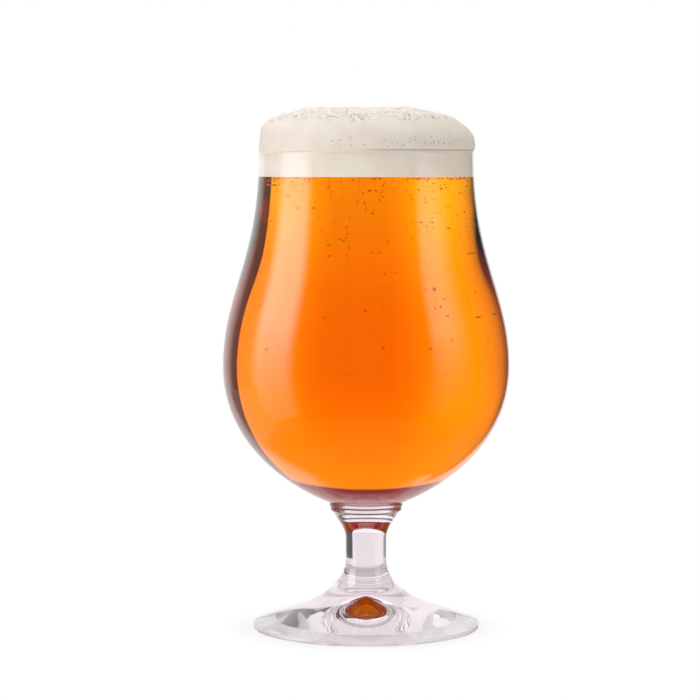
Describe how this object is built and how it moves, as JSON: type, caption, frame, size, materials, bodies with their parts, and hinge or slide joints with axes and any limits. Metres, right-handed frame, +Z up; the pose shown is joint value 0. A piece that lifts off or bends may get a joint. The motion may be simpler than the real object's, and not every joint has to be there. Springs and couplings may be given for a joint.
{
  "type": "chalice beer glass",
  "caption": "Stemmed tulip-shaped beer glass on a flared foot, poured full of amber beer under a domed head of cream foam.",
  "frame": {"origin": "centre of the plane that the foot's rest ring stands on", "axes": "+Z up the glass's axis of revolution, from the foot to the foam's crown; the glass is the same all round, so X and Y are free"},
  "size_m": [0.096, 0.096, 0.1752],
  "materials": {
    "glass": "polished",
    "beer": "polished",
    "foam": "matte"
  },
  "bodies": {
    "root": {"foot": "glass", "stem": "glass", "collar": "glass", "bowl": "glass", "beer": "beer", "foam_head": "foam"}
  },
  "joints": []
}
